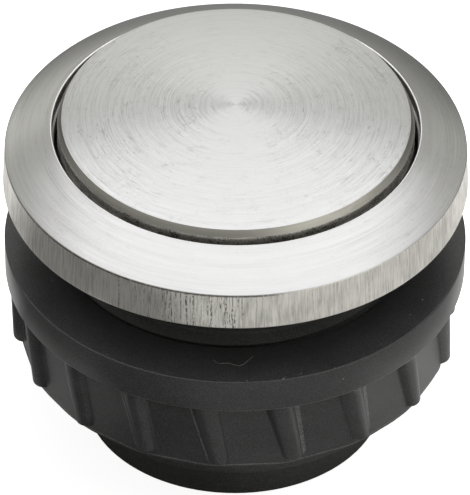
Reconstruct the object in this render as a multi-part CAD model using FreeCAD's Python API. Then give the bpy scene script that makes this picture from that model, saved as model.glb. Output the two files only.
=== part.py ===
import FreeCAD, Part
import math
import os

# Doorbell button for a 22 mm panel hole: steel bezel and cap on a moulded switch body with a ring nut.
# Millimetres. Z points out of the cap, and the origin is the middle of the rear face.
# The front of the views is -Y, and the two wires leave towards +Y.

# Threaded barrel and rear boss
barrel_radius = 11.0
barrel_length = 14.78
barrel_wall = 1.55
boss_reach = 3.05
end_chamfer = 0.3
boss_edge_break = 0.08

# Steel bezel
bezel_overhang = 3.5
bezel_flare = 0.1
bezel_wall_height = 2.62
bezel_face_rise = 1.75
bezel_face_width = 2.95
bezel_skirt = 1.1
bezel_lip = 1.9
bezel_edge_break = 0.12

# Steel cap and its travel
cap_gap = 0.35
cap_edge_round = 0.25
cap_edge_steps = 4
cap_proud = 0.65
cap_dome_rise = 1.15
cap_wall = 0.5
press_travel = 1.2
press_reserve = 0.25

# Housing inside the bezel
flange_thickness = 1.17
web_thickness = 1.8
web_drop = 2.33
collar_wall = 1.3
key_width = 1.3
key_depth = 1.1

# Plunger
stem_radius = 5.0
stem_wall = 1.3
barb_height = 1.3
barb_reach = 0.6
leg_slot_width = 1.6
leg_slot_depth = 1.6
post_radius = 1.5
spring_seat_depth = 1.75

# Ring nut
panel_gap = 4.4
nut_flange_overhang = 3.5
nut_flange_taper = 0.05
nut_flange_thickness = 2.48
nut_flange_break = 0.25
nut_core_height = 5.38
nut_core_top_wall = 2.7
nut_core_end_wall = 2.5
nut_edge_chamfer = 0.2
nut_rib_count = 18
nut_rib_turn = 6.1
nut_rib_slant = 4.5
nut_rib_top_width = 2.05
nut_rib_foot_width = 1.3
nut_rib_top_stand = 0.5
nut_rib_foot_stand = 0.5
nut_rib_root = 0.5
nut_rib_toe = 0.45
nut_toe_steps = 3
nut_rib_stop = 0.4

# Terminal base
well_depth = 3.8
well_gap = 0.45
bead_level = 6.2
bead_height = 1.2
bead_reach = 0.22
shoulder = 0.5
pocket_width = 6.0
pocket_back = 3.0
pocket_side_wall = 1.15
pocket_margin = 0.2
guide_post_side = 1.0
guide_post_gap = 0.4
guide_post_over = 0.55

# Fixed contacts and terminals
strip_thickness = 0.7
strip_width = 3.8
tab_width = 5.0
arm_margin = 0.3
tip_place = 5.4
screw_radius = 1.5
screw_length = 3.0
screw_head_radius = 2.5
screw_head_height = 1.5
screw_slot_width = 0.7
screw_slot_depth = 0.75
screw_travel = 1.2
plate_length = 4.8
plate_width = 5.0
plate_thickness = 0.7

# Moving contact
bridge_end_margin = 0.5
bridge_width = 3.6
bridge_thickness = 0.5
tip_radius = 0.9
tip_height = 0.3
tip_shank_radius = 0.5
contact_float = 0.4
retainer_radius = 2.55
retainer_thickness = 0.8

# Springs
return_wire = 0.4
return_coils = 5
return_edge_gap = 0.15
contact_wire = 0.3
contact_coils = 5
contact_post_gap = 0.45
contact_spring_length = 4.28
steps_per_coil = 16
wire_sides = 8

# Clearances
slide_fit = 0.08
thread_fit = 0.1
push_fit = 0.03
seat_gap = 0.05
base_fit = 0.1
touch_gap = 0.02
loose_fit = 0.15

# Levels of the outside, counted from the rear face
barrel_end = boss_reach
bezel_bottom = barrel_end + barrel_length
bezel_edge = bezel_bottom + bezel_wall_height
bezel_top = bezel_edge + bezel_face_rise
bezel_ceiling = bezel_top - bezel_lip
cap_rim = bezel_top + cap_proud
nut_top = bezel_bottom - panel_gap
nut_flange_bottom = nut_top - nut_flange_thickness
nut_end = nut_flange_bottom - nut_core_height

# Levels of the mechanism, from the housing's flange down to the base
flange_top = bezel_bottom + flange_thickness
web_bottom = bezel_bottom - web_drop
web_top = web_bottom + web_thickness
cap_skirt_end = flange_top + press_travel + press_reserve
head_bottom = cap_skirt_end + seat_gap
barb_top = web_bottom - seat_gap
barb_end = barb_top - barb_height
stem_core_end = barb_end + spring_seat_depth
bridge_top = stem_core_end - contact_spring_length
bridge_bottom = bridge_top - bridge_thickness
retainer_top = bridge_bottom - seat_gap
post_end = retainer_top - retainer_thickness
bridge_tip_end = bridge_bottom - tip_height
contact_gap = press_travel - contact_float + touch_gap
fixed_tip_top = bridge_tip_end - contact_gap
arm_top = fixed_tip_top - tip_height
base_top = arm_top - strip_thickness
well_floor = base_top - well_depth
guide_post_top = bridge_top + guide_post_over

# Levels of the terminals, from the rear face up
screw_head_end = pocket_margin + screw_travel
plate_bottom = screw_head_end + screw_head_height
tab_bottom = plate_bottom + plate_thickness
pocket_top = tab_bottom + strip_thickness

# Radii that follow
bezel_radius = barrel_radius + bezel_overhang
nut_flange_radius = barrel_radius + nut_flange_overhang
nut_core_top_radius = barrel_radius + nut_core_top_wall
nut_core_end_radius = barrel_radius + nut_core_end_wall
bezel_opening_radius = bezel_radius - bezel_face_width
barrel_bore = barrel_radius - barrel_wall
chamber_radius = barrel_bore - shoulder
boss_radius = barrel_bore - base_fit
cap_radius = bezel_opening_radius - cap_gap
cap_rim_radius = cap_radius - cap_edge_round
cap_inside = cap_radius - cap_wall
head_radius = cap_inside - push_fit
bezel_pocket_radius = bezel_radius - bezel_skirt
flange_radius = bezel_pocket_radius - seat_gap
flange_inside = bezel_opening_radius + cap_gap
guide_bore = stem_radius + slide_fit
stem_inside = stem_radius - stem_wall
nut_bore = barrel_radius + thread_fit
well_radius = retainer_radius + well_gap
return_spring_radius = retainer_radius - return_edge_gap - return_wire / 2
contact_spring_radius = post_radius + contact_post_gap + contact_wire / 2

# Distances of the two terminals and contacts from the middle
pocket_far = boss_radius - pocket_side_wall
pocket_near = pocket_far - pocket_width
terminal_place = pocket_far - pocket_width / 2
strip_far = pocket_far - pocket_margin
tab_near = pocket_near + pocket_margin
arm_near = tip_place - tip_radius - arm_margin
guide_post_place = arm_near - guide_post_gap - guide_post_side / 2
bridge_reach = tip_place + tip_radius + bridge_end_margin

origin = FreeCAD.Vector(0, 0, 0)
up = FreeCAD.Vector(0, 0, 1)


def at(x, y, z):
    return FreeCAD.Vector(x, y, z)


def section(radius, level):
    """A point of a turned piece's section."""
    return FreeCAD.Vector(radius, 0, level)


def cylinder(radius, bottom, top, x=0.0, y=0.0):
    return Part.makeCylinder(radius, top - bottom, at(x, y, bottom))


def block(x0, x1, y0, y1, z0, z1):
    return Part.makeBox(x1 - x0, y1 - y0, z1 - z0, at(x0, y0, z0))


def side_block(sign, axis, near, far, low, high, bottom, top):
    """A box that lies between two distances from the middle along X or Y, on the side of the sign."""
    reach = sorted((sign * near, sign * far))
    if axis == "x":
        return block(reach[0], reach[1], low, high, bottom, top)
    return block(low, high, reach[0], reach[1], bottom, top)


def turned(edges):
    """A solid of revolution about Z from the closed section that the edges make."""
    face = Part.Face(Part.Wire(edges))
    return face.revolve(origin, up, 360)


def turned_outline(points):
    """A solid of revolution about Z from a closed outline of straight lines."""
    return turned(Part.makePolygon(points + points[:1]).Edges)


def ring(outer, inner, bottom, top):
    return cylinder(outer, bottom, top).cut(cylinder(inner, bottom, top))


def around(angle, radius, level):
    """A point on a circle about Z, with the angle in degrees from +X."""
    turn = math.radians(angle)
    return at(radius * math.cos(turn), radius * math.sin(turn), level)


def dome_arc(rim_radius, rim_level, rise):
    """The arc of a shallow dome's section, from its top to its rim."""
    dome_radius = (rim_radius ** 2 + rise ** 2) / (2 * rise)
    centre_level = rim_level + rise - dome_radius
    half = math.asin(rim_radius / dome_radius) / 2
    middle = section(dome_radius * math.sin(half), centre_level + dome_radius * math.cos(half))
    return Part.Arc(section(0, rim_level + rise), middle, section(rim_radius, rim_level)).toShape()


def coil(mean_radius, wire, coils, bottom, top):
    """A helical spring between two levels: wire sections along the helix, joined by flat facets."""
    pitch = (top - bottom - wire) / coils
    slope = math.atan2(pitch, 2 * math.pi * mean_radius)
    sections = []
    for step in range(coils * steps_per_coil + 1):
        turn = 2 * math.pi * step / steps_per_coil
        outward = at(math.cos(turn), math.sin(turn), 0)
        across = at(math.sin(turn) * math.sin(slope), -math.cos(turn) * math.sin(slope), math.cos(slope))
        centre = outward * mean_radius + at(0, 0, bottom + wire / 2 + pitch * step / steps_per_coil)
        corners = []
        for side in range(wire_sides):
            angle = 2 * math.pi * side / wire_sides
            reach = outward * math.cos(angle) + across * math.sin(angle)
            corners.append(centre + reach * (wire / 2))
        sections.append(Part.makePolygon(corners + corners[:1]))
    return Part.makeLoft(sections, True, True)


def make_bezel():
    """Turned steel ring: flared wall, sloping face, and a pocket that the housing's flange fills."""
    outline = [
        section(bezel_pocket_radius, bezel_bottom),
        section(bezel_radius + bezel_flare, bezel_bottom),
        section(bezel_radius, bezel_edge - bezel_edge_break),
        section(bezel_radius - bezel_edge_break, bezel_edge),
        section(bezel_opening_radius + bezel_edge_break, bezel_top),
        section(bezel_opening_radius, bezel_top - bezel_edge_break),
        section(bezel_opening_radius, bezel_ceiling),
        section(bezel_pocket_radius, bezel_ceiling),
    ]
    return turned_outline(outline)


def make_cap():
    """Domed steel cap with a rolled edge of short cones and a skirt that grips the plunger's head."""
    side_top = cap_rim - cap_edge_round
    edge = []
    for step in range(cap_edge_steps + 1):
        angle = math.radians(90 - 90 * step / cap_edge_steps)
        radius = cap_rim_radius + cap_edge_round * math.cos(angle)
        edge.append(section(radius, side_top + cap_edge_round * math.sin(angle)))
    inside_rim = cap_rim - cap_wall
    inside = dome_arc(cap_inside, inside_rim, cap_dome_rise)
    lines = Part.makePolygon(edge + [
        section(cap_radius, cap_skirt_end),
        section(cap_inside, cap_skirt_end),
        section(cap_inside, inside_rim),
    ]).Edges
    axis_line = Part.makeLine(section(0, inside_rim + cap_dome_rise), section(0, cap_rim + cap_dome_rise))
    return turned([dome_arc(cap_rim_radius, cap_rim, cap_dome_rise)] + lines + [inside, axis_line])


def make_plunger():
    """Moulded plunger: domed head, slotted stem with snap barbs, and the post for the contact bridge."""
    head_rim = cap_rim - cap_wall - seat_gap
    head = turned(
        [dome_arc(head_radius, head_rim, cap_dome_rise)]
        + Part.makePolygon([
            section(head_radius, head_rim),
            section(head_radius, head_bottom),
            section(0, head_bottom),
            section(0, head_rim + cap_dome_rise),
        ]).Edges
    )
    stem = turned_outline([
        section(0, head_bottom),
        section(stem_radius, head_bottom),
        section(stem_radius, barb_top),
        section(stem_radius + barb_reach, barb_top),
        section(stem_radius - barb_reach / 2, barb_end),
        section(stem_inside, barb_end),
        section(stem_inside, stem_core_end),
        section(0, stem_core_end),
    ])
    slot_floor = stem_radius - leg_slot_depth
    slot_reach = stem_radius + barb_reach + seat_gap
    half = leg_slot_width / 2
    for sign in (-1, 1):
        stem = stem.cut(side_block(sign, "y", slot_floor, slot_reach, -half, half, barb_end, head_bottom))
        stem = stem.cut(side_block(sign, "x", slot_floor, slot_reach, -half, half, barb_end, stem_core_end))
    post = cylinder(post_radius, post_end, stem_core_end)
    return head.fuse([stem, post]).removeSplitter()


def make_housing():
    """Moulded housing: barrel, flange inside the bezel, and the web that guides the plunger."""
    barrel = turned_outline([
        section(barrel_bore, barrel_end),
        section(barrel_radius - end_chamfer, barrel_end),
        section(barrel_radius, barrel_end + end_chamfer),
        section(barrel_radius, bezel_bottom),
        section(flange_radius, bezel_bottom),
        section(flange_radius, bezel_ceiling - seat_gap),
        section(flange_inside, bezel_ceiling - seat_gap),
        section(flange_inside, flange_top),
        section(chamber_radius, flange_top),
        section(chamber_radius, web_top),
        section(guide_bore + collar_wall, web_top),
        section(guide_bore + collar_wall, flange_top),
        section(guide_bore, flange_top),
        section(guide_bore, web_bottom),
        section(chamber_radius, web_bottom),
        section(chamber_radius, base_top),
        section(barrel_bore, base_top),
        section(barrel_bore, bead_level + bead_height + seat_gap),
        section(barrel_bore + bead_reach, bead_level + bead_height / 2 + seat_gap),
        section(barrel_bore + bead_reach, bead_level + bead_height / 2 - seat_gap),
        section(barrel_bore, bead_level - seat_gap),
    ])
    key_inner = guide_bore - key_depth
    key_outer = guide_bore + slide_fit
    half = key_width / 2
    keys = [side_block(sign, "y", key_inner, key_outer, -half, half, web_bottom, web_top) for sign in (-1, 1)]
    return barrel.fuse(keys).removeSplitter()


def make_base():
    """Terminal base: snap plug with a spring well, terminal pockets and guides for the bridge."""
    bead = boss_radius + bead_reach
    plug = turned_outline([
        section(0, 0),
        section(boss_radius - boss_edge_break, 0),
        section(boss_radius, boss_edge_break),
        section(boss_radius, bead_level),
        section(bead, bead_level + bead_height / 2),
        section(boss_radius, bead_level + bead_height),
        section(boss_radius, base_top),
        section(0, base_top),
    ])
    plug = plug.cut(cylinder(well_radius, well_floor, base_top))
    posts = []
    for side in (-1, 1):
        plug = plug.cut(terminal_room(side))
        posts += [guide_post(side, across) for across in (-1, 1)]
    return plug.fuse(posts).removeSplitter()


def guide_post(side, across):
    """One of the four square posts that keep the bridge from turning."""
    half = guide_post_side / 2
    x_mid = side * guide_post_place
    y_mid = across * (bridge_width / 2 + loose_fit + half)
    return block(x_mid - half, x_mid + half, y_mid - half, y_mid + half, base_top, guide_post_top)


def terminal_room(side):
    """What one terminal takes out of the base: rear pocket with its wire entry, strip slot and screw hole."""
    pocket = side_block(side, "x", pocket_near, pocket_far, -pocket_back, boss_radius, 0, pocket_top)
    slot_near = strip_far - strip_thickness - push_fit
    slot_far = strip_far + push_fit
    half = strip_width / 2 + push_fit
    slot = side_block(side, "x", slot_near, slot_far, -half, half, pocket_top, base_top)
    hole_top = plate_bottom + screw_length + loose_fit
    screw_hole = cylinder(screw_radius + loose_fit, pocket_top, hole_top, side * terminal_place)
    return pocket.fuse([slot, screw_hole])


def make_fixed_contact(side):
    """Brass strip: arm on the base's top, leg through the base, and the terminal tab in the pocket."""
    half = strip_width / 2
    tab_half = tab_width / 2
    arm = side_block(side, "x", arm_near, strip_far, -half, half, base_top, arm_top)
    leg = side_block(side, "x", strip_far - strip_thickness, strip_far, -half, half, tab_bottom, arm_top)
    tab = side_block(side, "x", tab_near, strip_far, -tab_half, tab_half, tab_bottom, pocket_top)
    rivet_hole = cylinder(tip_shank_radius + push_fit, base_top, arm_top, side * tip_place)
    thread = cylinder(screw_radius + push_fit, tab_bottom, pocket_top, side * terminal_place)
    return arm.fuse([leg, tab]).cut(rivet_hole).cut(thread).removeSplitter()


def make_fixed_tip(side):
    """Silver rivet on the fixed contact, head up."""
    x = side * tip_place
    head = cylinder(tip_radius, arm_top, fixed_tip_top, x)
    shank = cylinder(tip_shank_radius, base_top, arm_top, x)
    return head.fuse(shank).removeSplitter()


def make_bridge_tip(side):
    """Silver rivet under the bridge, head down."""
    x = side * tip_place
    head = cylinder(tip_radius, bridge_tip_end, bridge_bottom, x)
    shank = cylinder(tip_shank_radius, bridge_bottom, bridge_top, x)
    return head.fuse(shank).removeSplitter()


def make_contact_bridge():
    """Brass bridge with rounded ends, a hole for the post and a hole for each rivet."""
    end_radius = bridge_width / 2
    end_place = bridge_reach - end_radius
    bridge = block(-end_place, end_place, -end_radius, end_radius, bridge_bottom, bridge_top)
    for side in (-1, 1):
        bridge = bridge.fuse(cylinder(end_radius, bridge_bottom, bridge_top, side * end_place))
    for side in (-1, 1):
        hole = cylinder(tip_shank_radius + push_fit, bridge_bottom, bridge_top, side * tip_place)
        bridge = bridge.cut(hole)
    return bridge.cut(cylinder(post_radius + slide_fit, bridge_bottom, bridge_top)).removeSplitter()


def make_bridge_retainer():
    """Push-on ring at the post's end: it holds the bridge and takes the return spring's top."""
    return ring(retainer_radius, post_radius + push_fit, post_end, retainer_top)


def make_terminal_screw(side):
    """Slotted cheese-head screw with its head towards the rear."""
    x = side * terminal_place
    half = screw_slot_width / 2
    slot_top = screw_head_end + screw_slot_depth
    head = cylinder(screw_head_radius, screw_head_end, plate_bottom, x)
    shank = cylinder(screw_radius, plate_bottom, plate_bottom + screw_length, x)
    slot = block(x - half, x + half, -screw_head_radius, screw_head_radius, screw_head_end, slot_top)
    return head.fuse(shank).cut(slot).removeSplitter()


def make_clamp_plate(side):
    """Square plate under the screw's head that presses the wire on the tab."""
    x = side * terminal_place
    along = plate_length / 2
    across = plate_width / 2
    plate = block(x - along, x + along, -across, across, plate_bottom, tab_bottom)
    return plate.cut(cylinder(screw_radius + slide_fit, plate_bottom, tab_bottom, x))


def make_nut_core():
    """The core between the ribs: a tapering prism with one flat for each pitch and a chamfered end."""
    pitch = 360.0 / nut_rib_count
    first_corner = nut_rib_turn - nut_rib_slant / 2
    outlines = []
    for radius, level in ((nut_core_end_radius, nut_end), (nut_core_top_radius, nut_flange_bottom)):
        corners = [around(first_corner + k * pitch, radius, level) for k in range(nut_rib_count)]
        outlines.append(Part.makePolygon(corners + corners[:1]))
    prism = Part.makeLoft(outlines, True, True)
    chamfered = turned_outline([
        section(0, nut_end),
        section(nut_core_end_radius - nut_edge_chamfer, nut_end),
        section(nut_core_end_radius + nut_edge_chamfer, nut_end + nut_edge_chamfer * 2),
        section(nut_flange_radius, nut_flange_bottom),
        section(0, nut_flange_bottom),
    ])
    return prism.common(chamfered)


def nut_rib(index):
    """One grip rib: a slanting cone that narrows from inside the flange down to a rounded foot."""
    foot_angle = nut_rib_turn + index * 360.0 / nut_rib_count
    top_angle = foot_angle - nut_rib_slant
    foot_half = nut_rib_foot_width / 2
    top_half = nut_rib_top_width / 2
    foot_level = nut_end + nut_rib_stop + nut_rib_toe
    top_level = nut_flange_bottom + nut_rib_root
    foot_centre = around(foot_angle, nut_core_end_radius + nut_rib_foot_stand - foot_half, foot_level)
    top_centre = around(top_angle, nut_core_top_radius + nut_rib_top_stand - top_half, top_level)
    way = top_centre.sub(foot_centre)
    outline = [section(0, way.Length), section(top_half, way.Length), section(foot_half, 0)]
    for step in range(1, nut_toe_steps + 1):
        angle = math.radians(90 * step / nut_toe_steps)
        outline.append(section(foot_half * math.cos(angle), -nut_rib_toe * math.sin(angle)))
    rib = turned_outline(outline)
    rib.Placement = FreeCAD.Placement(foot_centre, FreeCAD.Rotation(up, way))
    return rib


def make_ring_nut():
    """Moulded ring nut: clamping flange, faceted core and slanting grip ribs in one piece."""
    flange = turned_outline([
        section(nut_bore, nut_flange_bottom),
        section(nut_flange_radius - nut_flange_taper - nut_flange_break, nut_flange_bottom),
        section(nut_flange_radius - nut_flange_taper, nut_flange_bottom + nut_flange_break),
        section(nut_flange_radius, nut_top),
        section(nut_bore, nut_top),
    ])
    ribs = [nut_rib(k) for k in range(nut_rib_count)]
    nut = make_nut_core().fuse(ribs).fuse(flange)
    return nut.cut(cylinder(nut_bore, nut_end, nut_top)).removeSplitter()


def make_return_spring():
    return coil(return_spring_radius, return_wire, return_coils, well_floor, post_end)


def make_contact_spring():
    return coil(contact_spring_radius, contact_wire, contact_coils, bridge_top, stem_core_end)


def build_parts():
    parts = {
        "bezel": make_bezel(),
        "cap": make_cap(),
        "plunger": make_plunger(),
        "housing": make_housing(),
        "ring_nut": make_ring_nut(),
        "terminal_base": make_base(),
        "return_spring": make_return_spring(),
        "contact_spring": make_contact_spring(),
        "contact_bridge": make_contact_bridge(),
        "bridge_retainer": make_bridge_retainer(),
    }
    for name, side in (("left", -1), ("right", 1)):
        parts[name + "_fixed_contact"] = make_fixed_contact(side)
        parts[name + "_fixed_tip"] = make_fixed_tip(side)
        parts[name + "_bridge_tip"] = make_bridge_tip(side)
        parts[name + "_terminal_screw"] = make_terminal_screw(side)
        parts[name + "_clamp_plate"] = make_clamp_plate(side)
    return parts


def main():
    os.makedirs("parts", exist_ok=True)
    for name, shape in build_parts().items():
        shape.exportStep(os.path.join("parts", name + ".step"))
        print(name, "valid", shape.isValid(), "solids", len(shape.Solids), "volume", round(shape.Volume, 2))


main()
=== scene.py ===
from contextlib import contextmanager
import math

import bmesh
import bpy
from bpy.props import FloatProperty, FloatVectorProperty, IntProperty, PointerProperty
from mathutils import Matrix, Vector


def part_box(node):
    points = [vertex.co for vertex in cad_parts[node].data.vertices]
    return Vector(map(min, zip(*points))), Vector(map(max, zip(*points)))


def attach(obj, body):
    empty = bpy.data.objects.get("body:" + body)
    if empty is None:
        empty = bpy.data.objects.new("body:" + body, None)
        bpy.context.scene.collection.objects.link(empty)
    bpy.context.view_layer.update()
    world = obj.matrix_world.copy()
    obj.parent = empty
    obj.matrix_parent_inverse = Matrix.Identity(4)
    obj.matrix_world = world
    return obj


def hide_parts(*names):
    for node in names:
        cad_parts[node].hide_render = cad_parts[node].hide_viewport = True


bl_info = {
    "name": "Doorbell button",
    "version": (1, 0, 0),
    "blender": (4, 5, 0),
    "location": "3D View > Sidebar > Doorbell",
    "description": "Dresses the packed doorbell button: steel bezel and cap, mouldings and terminals",
    "category": "Object",
}

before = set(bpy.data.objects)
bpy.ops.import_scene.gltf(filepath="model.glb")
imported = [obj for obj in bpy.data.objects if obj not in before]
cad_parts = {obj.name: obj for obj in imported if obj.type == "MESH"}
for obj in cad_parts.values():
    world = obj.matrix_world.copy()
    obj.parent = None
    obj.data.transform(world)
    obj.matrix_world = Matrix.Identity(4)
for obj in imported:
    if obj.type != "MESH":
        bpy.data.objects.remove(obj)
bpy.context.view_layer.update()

mm = 0.001

# Gaps under which points are merged, in metres; a corner's half angle in degrees and its share of a side
merge_gap = 0.5e-6
thread_gap = 1e-6
cut_gap = 1e-7
fibre_gap = 1e-8
straight_corner = 89.5
corner_reach = 0.49

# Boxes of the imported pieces, in metres
bezel_low, bezel_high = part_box("bezel")
cap_low, cap_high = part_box("cap")
housing_low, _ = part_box("housing")
nut_low, nut_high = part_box("ring_nut")

# The bezel's section, from its packed box
bezel_flare = 0.1 * mm
bezel_radius = bezel_high.x - bezel_flare
bezel_bottom = bezel_low.z
bezel_top = bezel_high.z
bezel_edge = bezel_top - 1.75 * mm
bezel_opening = bezel_radius - 2.95 * mm
bezel_pocket = bezel_radius - 1.1 * mm
bezel_ceiling = bezel_top - 1.9 * mm
ledge = bezel_top - 0.9 * mm
ledge_slope = 0.05 * mm
ledge_reach = 0.14 * mm
ledge_round = 0.03 * mm

# The cap's section
cap_radius = cap_high.x
cap_rise = 1.15 * mm
cap_rim = cap_high.z - cap_rise
cap_wall = 0.5 * mm
cap_band = 0.45 * mm
cap_bulge = 0.55
cap_skirt_end = cap_low.z
cap_rim_round = 0.02 * mm
cap_band_round = 0.1 * mm
cap_skirt_round = 0.05 * mm
dome_steps = 24
dome_inner_steps = 12

# The barrel, its collar and its thread
barrel_radius = 11.0 * mm
barrel_end = housing_low.z
barrel_chamfer = 0.3 * mm
collar_height = 0.55 * mm
collar_lead = 0.28 * mm
collar_draw = 0.1 * mm
collar_round = 0.03 * mm
collar_overlap = 0.05 * mm
thread_phase = 0.3
thread_seam = 0.3 * mm
thread_steps = 144
touch = 0.01 * mm

# The ring nut
nut_bore = 11.1 * mm
nut_end = nut_low.z
nut_top = nut_high.z
nut_flange_bottom = nut_top - 2.48 * mm
nut_flange_radius = 14.5 * mm
nut_flange_taper = 0.05 * mm
nut_core_top = 13.7 * mm
nut_core_end = 13.5 * mm
nut_chamfer = 0.2 * mm
nut_fillet = 0.12 * mm
nut_break = 0.07 * mm
flange_low_round = 0.22 * mm
flange_top_round = 0.1 * mm
chamfer_step = 0.04 * mm
chamfer_steps = 8
flange_fillet_steps = 3

# Its grip ribs: turns and slants in degrees, stands beyond the core, and points in each stretch
rib_slant = 4.5
rib_turn = 6.1
rib_toe = 0.45 * mm
rib_stop = 0.4 * mm
rib_root = 0.5 * mm
rib_foot_stand = 0.5 * mm
rib_top_stand = 0.5 * mm
rib_search_turn = 120
rib_search_steps = 40
toe_steps = 8
rib_steps = 8
flat_steps = 7
rib_arc_steps = 10
fillet_steps = 5
fillet_limit = 0.5
fillet_share = 0.4
flat_glance = 0.01

# Its painted highlight lines, a lighter moulding on thin bands of its edges: height on the core, share of the
# flange's rounded edge, and share of the core's radius
highlight_line_height = 0.12 * mm
highlight_on_flange = 0.6
highlight_on_core = 0.96

# Dust on the nut's flange (place and radius) and a fibre's way over it, in millimetres
dust_specks = (
    (-11.45, -4.65, 13.44, 0.05), (11.76, -6.24, 13.44, 0.06), (11.0, -7.72, 13.44, 0.06),
    (0.82, -14.3, 13.42, 0.07), (3.08, -14.06, 13.42, 0.09), (3.2, -13.9, 13.43, 0.05),
    (4.21, -13.56, 13.44, 0.05), (6.29, -12.97, 13.42, 0.06), (6.82, -12.8, 12.4, 0.08),
    (-7.9, -11.9, 13.44, 0.04), (9.2, -10.6, 13.44, 0.04),
)
speck_shape = (1.0, 0.8, 0.6)
fibre_path = (
    (-1.31, -12.3), (-1.1, -12.55), (-0.87, -12.7), (-0.55, -12.62), (-0.27, -12.6), (0.05, -12.78),
    (0.34, -12.87), (0.6, -12.7), (0.82, -12.42), (1.0, -12.15), (1.18, -11.92),
)
fibre_radius = 0.016 * mm

# The terminal screws
screw_radius = 1.5 * mm
screw_head_height = 1.5 * mm
screw_head_round = 0.3 * mm
screw_edge_round = 0.08 * mm
screw_point = 0.25 * mm
screw_slot_width = 0.7 * mm
screw_slot_depth = 0.75 * mm
screw_steps = 96
screw_thread_pitch = 0.5 * mm
screw_thread_depth = 0.27 * mm
screw_thread_sink = 0.02 * mm
screw_thread_steps = 48

# Eased edges of the base and of the clamp plates
base_ease = 0.06 * mm
plate_ease = 0.08 * mm

# Steel: shares of the layers of marks, and the part of them that shows where it faces front and back
fine_share = 0.34
ring_share = 0.36
broad_share = 0.12
speckle_share = 0.18
speckle_size = 0.14 * mm
front_marks = 0.4

# Dark lines on the bezel's wall, and painted shade under its top edge: each pair is where they begin to show
# and where they show in full
line_left = (-8.2 * mm, -3.4 * mm)
line_right = (0.9 * mm, 0.2 * mm)
line_front = (-10 * mm, -12 * mm)
edge_shade_right = (3.8 * mm, 1.5 * mm)
edge_shade_front = (0.0, -4 * mm)
edge_shade_level = (bezel_edge - 0.18 * mm, bezel_edge - 0.08 * mm)
scratch_place = -7.2 * mm
scratch_width = (0.05 * mm, 0.01 * mm)
scratch_front = (0.0, -1 * mm)

# The mouldings' skin
skin_grain = 0.09 * mm
skin_relief = 0.0015 * mm

# The camera, as the photograph's circles give it
frame_height = 495
pixels_a_millimetre = 15.9
camera_distance = 1.3
camera_clip = (camera_distance * 0.2, camera_distance * 5)
camera_elevation = 39.5
camera_roll = 0.5
camera_aim = Vector((0.0, 0.0, 12.4 * mm))
sensor_width = 36.0

# The light: size, place and power
light_size = (0.7, 0.6)
light_place = Vector((0.0, 0.02, 0.34))
light_aim = Vector((0.0, 0.0, 15 * mm))
light_power = 0.66

# The floor: its shades, and the edges between them as pairs of places
floor_size = 4.0
floor_drop = 0.02 * mm
floor_glow = 0.92
floor_shade = 0.5
floor_shade_left = 0.14
floor_shade_beside = 0.85
floor_shade_behind = 0.06
floor_shade_near = 1.0
floor_patch_left = 0.6
floor_patch_right = 1.0
floor_slant = 0.6
left_edge = (-12 * mm, -4 * mm)
beside_edge = (4 * mm, 20 * mm)
behind_edge = (28 * mm, 50 * mm)
near_front = (3 * mm, 7 * mm)
near_back = (24 * mm, 16 * mm)
near_sides = (26 * mm, 21 * mm)
patch_inside = (13 * mm, 16 * mm)
patch_outside = (25 * mm, 21 * mm)
patch_front = (-17 * mm, -13 * mm)
patch_back = (5 * mm, 1 * mm)

# The surroundings: levels of the sky's parts, the ways they lie and their soft edges; a lobe has all three
world_horizon = 0.26
world_low = 0.47
world_high = 1.1
world_behind = 0.5
world_side = 0.16
dark_share = 0.32
low_warmth = 0.92
right_way = (1.0, 0.0, 0.0)
behind_way = (0.0, 1.0, 0.0)
dark_way = (-0.8, -0.6, 0.0)
overhead_sky = (0.55, 0.83)
horizon_sky = (0.05, 0.25)
behind_sky = (0.68, 0.8)
behind_sides = (0.32, 0.08)
side_sky = (0.4, 0.55)
dark_sky = (0.25, 0.5)
low_sky = (0.5, 0.3)
warm_sky = (0.35, 0.75)
sky_lobes = (
    ((0.78, -0.63, 0.0), (0.78, 0.93), 0.7),
    ((-0.42, 0.9, 0.1), (0.93, 0.99), 0.4),
)


def length_property(name, description, default, low, high):
    """A length whose value and limits are given in millimetres."""
    return FloatProperty(
        name=name, description=description, default=default * mm, min=low * mm, max=high * mm,
        unit="LENGTH", precision=5)


def colour_property(name, description, default):
    return FloatVectorProperty(
        name=name, description=description, default=default, size=3, subtype="COLOR", min=0.0, max=1.0)


class DoorbellSizes(bpy.types.PropertyGroup):
    """Sizes of the visual model that a user may change; what fits stays with the frame."""

    bezel_edge_round: length_property("Bezel edge", "Radius of the bezel's outer edges", 0.15, 0.02, 0.3)
    cap_edge_round: length_property("Cap edge", "Reach of the cap's steep band", 0.25, 0.25, 0.45)
    round_steps: IntProperty(
        name="Round steps", description="Facets in each rounded edge", default=5, min=2, max=12)
    turn_steps: IntProperty(
        name="Turn steps", description="Facets round each turned piece", default=288, min=96, max=512)
    thread_pitch: length_property("Thread pitch", "Pitch of the barrel's thread", 1.0, 0.5, 2.0)
    thread_depth: length_property("Thread depth", "Depth of the barrel's thread", 0.5, 0.1, 0.6)
    rib_count: IntProperty(name="Ribs", description="Grip ribs on the ring nut", default=18, min=6, max=36)
    rib_top_width: length_property("Rib top width", "Width of a rib at the flange", 2.05, 0.5, 3.0)
    rib_foot_width: length_property("Rib foot width", "Width of a rib at its rounded foot", 1.3, 0.3, 2.0)
    rib_fillet: length_property("Rib fillet", "Radius between a rib and the flats", 0.24, 0.02, 0.4)


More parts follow.
